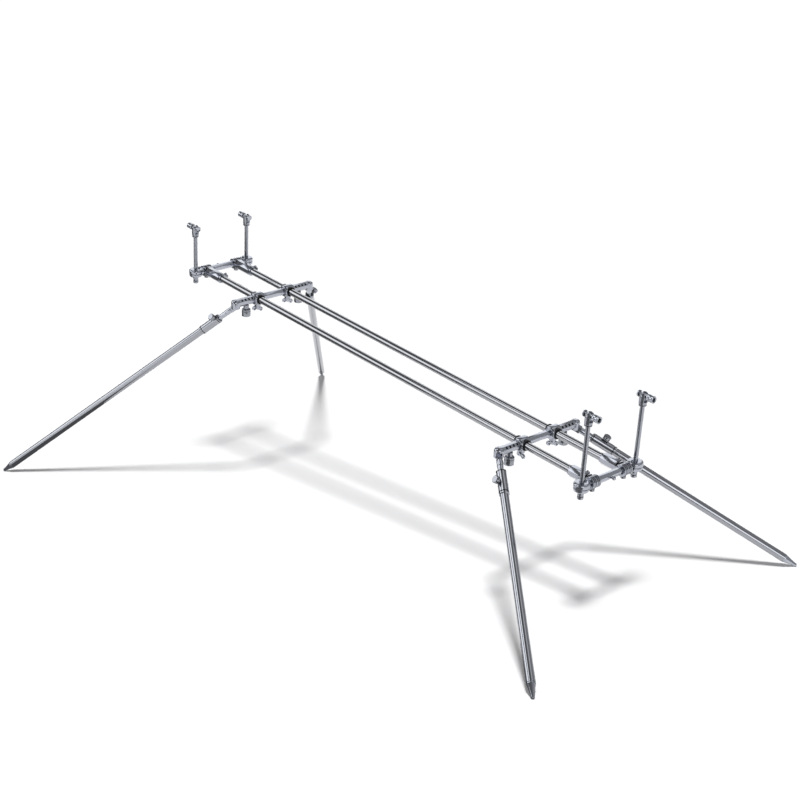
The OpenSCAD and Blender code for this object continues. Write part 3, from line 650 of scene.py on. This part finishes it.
# Hinge blocks: octagonal arms outside the saddles with four milled pockets in the upper facet.
# The round end is slotted from below and bored across for the leg's hinge pin.
BLOCK_Y = 55.0
PIN_Y = 102.0
PIN_Z = -7.0
BLOCK_AF = 17.0
BOSS_RADIUS = 10.0
BOSS_LOW = -12.0
BOSS_HIGH = 9.1
POCKET_Y = (61.0, 70.0, 79.0, 88.0)
POCKET_SIZE = Vector((5.0, 4.0, 5.0))
POCKET_TIP = 45.0
BOSS_ROUND = 7.0
HEEL_ROUND = 2.0
BLOCK_LAP = 2.0
LEG_SLOT_LOW = Vector((-7.0, -5.4, -13.0))
LEG_SLOT_HIGH = Vector((20.0, 5.4, 0.7))
LEG_YAW = {"front": 138.0, "rear": 34.0}
satin_steel = steel("satin_block", (0.35, 0.362, 0.405), (0.54, 0.558, 0.615), 0.2, (1500, 60, 1500))
for end in ENDS:
    for side, sign in SIDES.items():
        yaw = LEG_YAW[end] if sign > 0 else 180.0 - LEG_YAW[end]
        block = bmesh.new()
        prism(block, BLOCK_AF, BLOCK_Y, PIN_Y - BLOCK_LAP, axis="Y")
        boss = bmesh.new()
        crown = corner(BOSS_HIGH - BOSS_ROUND, BOSS_RADIUS - BOSS_ROUND, BOSS_ROUND, 90, 0)
        heel = corner(BOSS_LOW + HEEL_ROUND, BOSS_RADIUS - HEEL_ROUND, HEEL_ROUND, 180, 90)
        lathe(boss, [(BOSS_LOW, 0)] + heel + crown + [(BOSS_HIGH, 0)], axis="Z", steps=56)
        gather(block, boss, Matrix.Translation((0, PIN_Y, 0)))
        cuts = bmesh.new()
        for y in POCKET_Y:
            middle = Vector((0, y, BLOCK_AF / 2))
            pocket = bmesh.new()
            box(pocket, middle - POCKET_SIZE / 2, middle + POCKET_SIZE / 2)
            gather(cuts, pocket, Matrix.Rotation(math.radians(sign * POCKET_TIP), 4, "Y"))
        slot = bmesh.new()
        box(slot, LEG_SLOT_LOW, LEG_SLOT_HIGH)
        along_leg = Matrix.Rotation(math.radians(yaw), 4, "Z")
        gather(cuts, slot, Matrix.Translation((0, PIN_Y, 0)) @ along_leg)
        block = carve(block, cuts)
        break_edges(block, width=0.5)
        shade_recesses(block)
        turn = Matrix.Rotation(math.pi if sign < 0 else 0.0, 4, "Z")
        fit(block, f"hinge_block_{end}_{side}", at_cross(end) @ turn, "cross_" + end, satin_steel)

# Hinge pins: plain dowels pressed across the slotted ends, on which the legs fold.
# Ground steel with a small lead chamfer at both ends.
PIN_RADIUS = 3.0
PIN_HALF = 9.0
pin = bmesh.new()
lathe(pin, [(-PIN_HALF, 0), (-PIN_HALF, PIN_RADIUS), (PIN_HALF, PIN_RADIUS), (PIN_HALF, 0)], axis="Y",
      steps=32)
break_edges(pin, width=0.5, segments=1)
for end in ENDS:
    pins = bmesh.new()
    for sign in SIDES.values():
        gather(pins, pin, Matrix.Translation((0, sign * PIN_Y, PIN_Z))
               @ Matrix.Rotation(math.radians(sign * LEG_YAW[end]), 4, "Z"))
    fit(pins, "hinge_pins_" + end, at_cross(end), "cross_" + end, dark_steel)

# Lock knobs: fluted knobs under the hinge blocks that clamp the leg at its angle.
# Turned with a narrow neck, with flutes cut round the rim for grip.
LOCK_Y = 73.0
LOCK_TOP = -8.9
LOCK_RIM = -17.9
LOCK_BOTTOM = -35.9
LOCK_RADIUS = 10.0
LOCK_ROUND = 3.0
LOCK_CAP = 5.0
LOCK_NECK = 6.0
LOCK_SHANK = 4.0
LOCK_SHANK_TOP = -0.5
LOCK_EDGE = 0.5
LOCK_FLUTE_RIM = 1.0
LOCK_FLUTES = 18
knob_steel = steel("fluted_knob", (0.25, 0.259, 0.287), (0.39, 0.403, 0.445), 0.14, (700, 700, 200))
lock_knob = bmesh.new()
cap = [(LOCK_RIM - LOCK_CAP, 0), (LOCK_RIM - LOCK_CAP, LOCK_RADIUS)]
cap += corner(LOCK_RIM - LOCK_ROUND, LOCK_RADIUS - LOCK_ROUND, LOCK_ROUND, 90, 0)
neck = [(LOCK_RIM, LOCK_NECK), (LOCK_TOP - LOCK_EDGE, LOCK_NECK), (LOCK_TOP, LOCK_NECK - LOCK_EDGE)]
shank = [(LOCK_TOP, LOCK_SHANK), (LOCK_SHANK_TOP, LOCK_SHANK), (LOCK_SHANK_TOP, 0)]
lathe(lock_knob, cap + neck + shank, axis="Z", steps=48)
knurled(lock_knob, LOCK_RADIUS, LOCK_BOTTOM + LOCK_FLUTE_RIM, LOCK_RIM - LOCK_CAP - LOCK_FLUTE_RIM,
        LOCK_FLUTES, depth=0.09)
break_edges(lock_knob, width=0.25, angle=50)
shade_recesses(lock_knob)
for end in ENDS:
    for side, sign in SIDES.items():
        node = f"lock_knob_{end}_{side}"
        fit(lock_knob, node, at_cross(end, sign * LOCK_Y), node, knob_steel)

# Leg arms: a thick lug on the hinge pin that runs into a round arm and then a slimmer rod.
# The rod slides inside the leg tube, so only its upper end shows.
ROD_OUT = {"front": 48.0, "rear": 38.0}
ROD_IN = {"front": 260.0, "rear": 180.0}
ROD_RADIUS = 5.95
LUG_HALF = 5.0
LUG_RADIUS = 6.5
ARM_START = 11.98
ARM_STOP = 27.0
ARM_RADIUS = 6.5
ARM_EDGE = 0.6
ARM_LAP = 1.0
ARM_SHOULDER = 1.0


def leg_place(end, side):
    """Frame of a leg, origin on the hinge pin, +X down the leg and +Y along the pin."""
    joints = {joint["name"]: joint for joint in frame["joints"]}
    fold = joints[f"leg_{end}_{side}_fold"]
    down = Vector(joints[f"leg_{end}_{side}_length"]["axis"])
    across = Vector(fold["axis"])
    axes = Matrix((down, across, down.cross(across))).transposed().to_4x4()
    return Matrix.Translation(fold["pos_m"]) @ axes @ Matrix.Scale(0.001, 4)


arm_steel = steel("polished_arm", (0.35, 0.362, 0.402), (0.52, 0.537, 0.592), 0.1, (60, 1500, 1500))
for end in ENDS:
    arm = bmesh.new()
    lathe(arm, [(-LUG_HALF, 0), (-LUG_HALF, LUG_RADIUS), (LUG_HALF, LUG_RADIUS), (LUG_HALF, 0)], axis="Y",
          steps=40)
    box(arm, Vector((0, -LUG_HALF, -LUG_RADIUS)), Vector((ARM_START + ARM_LAP, LUG_HALF, LUG_RADIUS)))
    rod_end = ROD_OUT[end] + ROD_IN[end]
    lathe(arm, [(ARM_START, 0), (ARM_START, ARM_RADIUS - ARM_EDGE), (ARM_START + ARM_EDGE, ARM_RADIUS),
                (ARM_STOP - ARM_SHOULDER, ARM_RADIUS), (ARM_STOP, ROD_RADIUS), (rod_end, ROD_RADIUS),
                (rod_end, 0)], steps=48)
    break_edges(arm, width=0.5)
    for side in SIDES:
        node = f"leg_arm_{end}_{side}"
        fit(arm, node, leg_place(end, side), node, arm_steel)

# Leg tubes: polished stainless tubes with a thick turned collar at the top.
# The collar holds the knob screw that sets the length of the leg.
LEG_LENGTH = {"front": 746.0, "rear": 509.0}
LEG_RADIUS = 8.5
LEG_BORE = 6.0
COLLAR_RADIUS = 10.0
COLLAR_LENGTH = 54.0
COLLAR_BREAK = 1.0
COLLAR_GROOVE = 1.2
COLLAR_END = 1.2
BORE_FLARE = 0.6
TOP_GROOVE = (2.2, 4.0)
LOW_GROOVE = (6.4, 4.2)
GROOVE_SLOPE = 0.2
SPIKE_LENGTH = 30.0
leg_steel = steel("polished_leg_tube", (0.31, 0.318, 0.345), (0.41, 0.42, 0.453), 0.08, (25, 2400, 2400),
                  scratch=0.02)
for end in ENDS:
    start = ROD_OUT[end]
    end_of_collar = start + COLLAR_LENGTH
    stop = LEG_LENGTH[end] - SPIKE_LENGTH
    outline = [(start + COLLAR_BREAK, LEG_BORE), (start, LEG_BORE + BORE_FLARE),
               (start, COLLAR_RADIUS - COLLAR_BREAK), (start + COLLAR_BREAK, COLLAR_RADIUS)]
    for near, far in ((start + TOP_GROOVE[0], start + TOP_GROOVE[1]),
                      (end_of_collar - LOW_GROOVE[0], end_of_collar - LOW_GROOVE[1])):
        outline += [(near, COLLAR_RADIUS), (near + GROOVE_SLOPE, COLLAR_RADIUS - COLLAR_GROOVE),
                    (far - GROOVE_SLOPE, COLLAR_RADIUS - COLLAR_GROOVE), (far, COLLAR_RADIUS)]
    outline += [(end_of_collar - COLLAR_END, COLLAR_RADIUS), (end_of_collar, COLLAR_RADIUS - COLLAR_END),
                (end_of_collar + GROOVE_SLOPE, LEG_RADIUS), (stop, LEG_RADIUS), (stop, LEG_BORE)]
    tube = bmesh.new()
    lathe(tube, outline, steps=64, closed=True)
    shade_recesses(tube)
    for side in SIDES:
        node = f"leg_tube_{end}_{side}"
        fit(tube, node, leg_place(end, side), node, leg_steel)

# Ground spikes: turned points pressed into the lower ends of the leg tubes.
# A shoulder and a groove meet the tube, then the point tapers to a blunt tip.
TIP_RADIUS = 3.5
PLUG_LENGTH = 20.0
PLUG_RADIUS = 5.98
SPIKE_RING = [(0.0, 7.5), (1.0, 7.5), (1.0, 8.2), (1.3, 8.5), (2.7, 8.5), (3.0, 8.2), (3.0, 8.0)]
TAPER_END = (9.0, 4.0)
for end in ENDS:
    point = LEG_LENGTH[end]
    shoulder = point - SPIKE_LENGTH
    plug = [(shoulder - PLUG_LENGTH, 0), (shoulder - PLUG_LENGTH, PLUG_RADIUS), (shoulder, PLUG_RADIUS)]
    ring = [(shoulder + along, radius) for along, radius in SPIKE_RING]
    taper = [(point - TAPER_END[0], TAPER_END[1])]
    tip = corner(point - TIP_RADIUS, 0, TIP_RADIUS, 90, 0, steps=6)
    spike = bmesh.new()
    lathe(spike, plug + ring + taper + tip, steps=40)
    for side in SIDES:
        fit(spike, f"spike_{end}_{side}", leg_place(end, side), f"leg_tube_{end}_{side}", turned_steel)

# Leg screws: fluted knob screws in the leg collars, which pinch the rod of the arm.
# Turned like the lock knobs, only smaller.
LEG_SCREW_AT = {"front": 9.0, "rear": 26.0}
LEG_SCREW_TURN = {"front_left": -38.0, "front_right": 38.0, "rear_left": 52.0, "rear_right": 0.0}
LEG_KNOB_RADIUS = 7.5
LEG_KNOB_LOW = 15.4
LEG_KNOB_HIGH = 20.65
LEG_KNOB_FLUTES = 14
LEG_SCREW_OUTLINE = [(6.4, 0), (6.4, 2.5), (10.4, 2.5), (10.4, 4.0), (10.9, 4.5), (12.4, 4.5), (12.4, 6.5),
                     (13.4, LEG_KNOB_RADIUS), (14.8, LEG_KNOB_RADIUS), (14.8, 0)]
leg_screw = bmesh.new()
lathe(leg_screw, LEG_SCREW_OUTLINE, axis="Z", steps=40)
knurled(leg_screw, LEG_KNOB_RADIUS, LEG_KNOB_LOW, LEG_KNOB_HIGH, LEG_KNOB_FLUTES, depth=0.1)
break_edges(leg_screw, width=0.25, angle=50)
shade_recesses(leg_screw)
for end in ENDS:
    for side in SIDES:
        node = f"leg_screw_{end}_{side}"
        lay = Matrix.Rotation(math.radians(LEG_SCREW_TURN[f"{end}_{side}"]), 4, "X")
        seat = Matrix.Translation((ROD_OUT[end] + LEG_SCREW_AT[end], 0, 0))
        fit(leg_screw, node, leg_place(end, side) @ seat @ lay, node, knob_steel)

# Studio: a pale floor under a plain white surround, with softboxes left, right, above and behind.
# Dark flags stand round the set, as is usual for polished metal, and only reflections see them.
scene = bpy.context.scene
scene.view_settings.view_transform = "Standard"


def seen(finish):
    """One where a ray comes straight from the camera or by way of a mirror or clear piece."""
    path = ["Is Camera Ray", "Is Glossy Ray", "Is Transmission Ray"]
    rays = [finish.add("LightPath", output=name) for name in path]
    return rays[0].combine("MAXIMUM", rays[0], rays[1].combine("MAXIMUM", rays[1], rays[2]))


class Surround(Finish):
    """The node tree of the world."""

    def __init__(self, name):
        world = bpy.data.worlds.new(name)
        world.use_nodes = True
        scene.world = world
        self.tree = world.node_tree
        self.tree.nodes.clear()


AMBIENT = 0.2
surround = Surround("studio")
glow = surround.add("Background", None, {
    "Color": (0.985, 0.985, 1.0, 1.0), "Strength": AMBIENT + (1.0 - AMBIENT) * seen(surround)})
surround.add("OutputWorld", None, {"Surface": glow})

FLOOR_RADIUS = 40.0
paper = Finish("floor_paper")
spot = paper.add("TexCoord", output="Object")
fibre = paper.add("TexNoise", None, {"Vector": spot, "Scale": 3.0, "Detail": 2.0})
shade = paper.add("Mix", {"data_type": "RGBA"},
                  {"Factor": fibre, 6: (0.88, 0.88, 0.885, 1.0), 7: (0.9, 0.9, 0.905, 1.0)}, output=2)
matt = paper.add("BsdfDiffuse", None, {"Color": shade})
white = paper.add("Emission", None, {"Color": (0.99, 0.99, 1.0, 1.0), "Strength": 1.0})
sheet_shader = paper.add("MixShader", None, {0: 0.1 * seen(paper), 1: matt, 2: white})
paper.add("OutputMaterial", None, {"Surface": sheet_shader})
sheet = bmesh.new()
bmesh.ops.create_circle(sheet, cap_ends=True, segments=64, radius=FLOOR_RADIUS)
floor_mesh = bpy.data.meshes.new("floor")
sheet.to_mesh(floor_mesh)
sheet.free()
floor_mesh.materials.append(paper.material)
floor = bpy.data.objects.new("floor", floor_mesh)
scene.collection.objects.link(floor)

FLAG_RADIUS = 9.0
FLAG_FOOT = 0.5
GAP_START = 152.0
GAP_TOP = 42.0
VIEW_ANGLE = -39.1
cloth = Finish("dark_flag")
toward = cloth.add("TexCoord", output="Object")
view_turn = math.radians(VIEW_ANGLE)
right_hand = Vector((-math.sin(view_turn), math.cos(view_turn), 0)) / FLAG_RADIUS
rightness = cloth.add("VectorMath", {"operation": "DOT_PRODUCT"}, {0: toward, 1: right_hand}, output="Value")
cloth_shader = cloth.add("Emission", None, {
    "Color": (0.97, 0.98, 1.0, 1.0), "Strength": 0.165 + 0.3 * rightness.combine("MAXIMUM", rightness, 0.0)})
cloth.add("OutputMaterial", None, {"Surface": cloth_shader})
flags = bmesh.new()
bmesh.ops.create_uvsphere(flags, u_segments=120, v_segments=90, radius=FLAG_RADIUS)


def bearing(direction):
    """Compass angle from the camera's side, positive to the right of the picture."""
    angle = math.degrees(math.atan2(direction.y, direction.x)) - VIEW_ANGLE
    return (angle + 180) % 360 - 180


def flagged(direction):
    """True where a dark flag stands, seen from the object."""
    rise = math.degrees(math.asin(direction.z))
    behind = abs(bearing(direction)) > GAP_START and rise < GAP_TOP
    return rise > FLAG_FOOT and not behind


bare = [f for f in flags.faces if not flagged(f.calc_center_median().normalized())]
bmesh.ops.delete(flags, geom=bare, context="FACES")
SHEET_HALF = Vector((0.75, 0.52))
CLOTH_OUT = 8.0
CLOTH_LIFT = Vector((0, 0, 0.002))
CLOTH_STEPS = 32


def floor_cloth(bm, start, stop):
    """Adds a dark cloth on the floor between two bearings, outside an oval round the object."""
    rim = []
    for i in range(CLOTH_STEPS + 1):
        angle = math.radians(VIEW_ANGLE + start + (stop - start) * i / CLOTH_STEPS)
        out = Vector((math.cos(angle), math.sin(angle), 0))
        near = 1 / math.hypot(out.x / SHEET_HALF.x, out.y / SHEET_HALF.y)
        rim.append([bm.verts.new(out * reach + CLOTH_LIFT) for reach in (near, CLOTH_OUT)])
    for (a, b), (c, d) in zip(rim, rim[1:]):
        bm.faces.new((a, b, d, c))


floor_cloth(flags, start=-28, stop=24)
floor_cloth(flags, start=-136, stop=-88)


def stand(bm, name, paint):
    """Puts a panel or flag on the set that only reflections see."""
    mesh = bpy.data.meshes.new(name)
    bm.to_mesh(mesh)
    bm.free()
    mesh.materials.append(paint.material)
    piece = bpy.data.objects.new(name, mesh)
    scene.collection.objects.link(piece)
    piece.visible_camera = False
    piece.visible_diffuse = False
    piece.visible_shadow = False


stand(flags, "flags", cloth)
PANEL_RADIUS = 7.0
PANEL_STEPS = 12


def softbox(name, turns, rises, radiance):
    """Adds a softbox that fills a range of bearings and height angles, seen from the object."""
    light = Finish(name)
    light.add("OutputMaterial", None, {
        "Surface": light.add("Emission", None, {"Color": (0.98, 0.99, 1.0, 1.0), "Strength": radiance})})
    bm = bmesh.new()
    rows = []
    for i in range(PANEL_STEPS + 1):
        rise = math.radians(rises[0] + (rises[1] - rises[0]) * i / PANEL_STEPS)
        row = []
        for j in range(PANEL_STEPS + 1):
            turn = math.radians(VIEW_ANGLE + turns[0] + (turns[1] - turns[0]) * j / PANEL_STEPS)
            row.append(bm.verts.new(PANEL_RADIUS * Vector((
                math.cos(turn) * math.cos(rise), math.sin(turn) * math.cos(rise), math.sin(rise)))))
        rows.append(row)
    for low, high in zip(rows, rows[1:]):
        for j in range(PANEL_STEPS):
            bm.faces.new((low[j], high[j], high[j + 1], low[j + 1]))
    stand(bm, name, light)


softbox("left_softbox", turns=(-117, -78), rises=(16, 46), radiance=2.1)
softbox("top_softbox", turns=(-125, -60), rises=(58, 80), radiance=2.2)
softbox("low_left_softbox", turns=(-72, -40), rises=(1, 18), radiance=1.5)
softbox("right_softbox", turns=(0, 30), rises=(6, 31), radiance=2.2)
softbox("back_softbox", turns=(153, 207), rises=(4, 40), radiance=1.45)
softbox("right_top_softbox", turns=(70, 120), rises=(48, 66), radiance=0.95)

SUN_LEAN = (5.4, 10.2)
sun = bpy.data.lights.new("overhead_lamp", "SUN")
sun.energy = 3.1
sun.angle = math.radians(11.0)
overhead = bpy.data.objects.new("overhead_lamp", sun)
overhead.rotation_euler = (math.radians(SUN_LEAN[0]), math.radians(SUN_LEAN[1]), 0)
overhead.visible_glossy = False
scene.collection.objects.link(overhead)

# Camera: looks down on the rear left corner, as in the photograph, through a long lens.
# Its place was fitted in the level frame of the bars, so it goes through the same pitch.
CAMERA_AZIMUTH = math.radians(-48.396)
CAMERA_ELEVATION = math.radians(26.211)
CAMERA_ROLL = math.radians(3.080)
CAMERA_DISTANCE = 3398.123
CAMERA_AIM = Vector((35.104, 11.659, -100.0))
FOCAL_PIXELS = 1610.504
IMAGE_SIZE = 800
IMAGE_CENTRE = (403.677, 405.440)
SENSOR = 36.0
look = Vector((math.sin(CAMERA_AZIMUTH) * math.cos(CAMERA_ELEVATION),
               math.cos(CAMERA_AZIMUTH) * math.cos(CAMERA_ELEVATION), -math.sin(CAMERA_ELEVATION)))
level = Vector((math.cos(CAMERA_AZIMUTH), -math.sin(CAMERA_AZIMUTH), 0.0))
upright = level.cross(look)
right = math.cos(CAMERA_ROLL) * level + math.sin(CAMERA_ROLL) * upright
up = -math.sin(CAMERA_ROLL) * level + math.cos(CAMERA_ROLL) * upright
data = bpy.data.cameras.new("camera")
data.sensor_width = SENSOR
data.lens = FOCAL_PIXELS * SENSOR / IMAGE_SIZE
data.shift_x = (IMAGE_SIZE / 2 - IMAGE_CENTRE[0]) / IMAGE_SIZE
data.shift_y = (IMAGE_CENTRE[1] - IMAGE_SIZE / 2) / IMAGE_SIZE
data.clip_end = 200.0
camera = bpy.data.objects.new("camera", data)
tilt = Matrix.Rotation(PITCH, 3, "Y")
turn = tilt @ Matrix((right, up, -look)).transposed()
camera.matrix_world = Matrix.Translation(POD @ (CAMERA_AIM - CAMERA_DISTANCE * look)) @ turn.to_4x4()
scene.collection.objects.link(camera)
scene.camera = camera
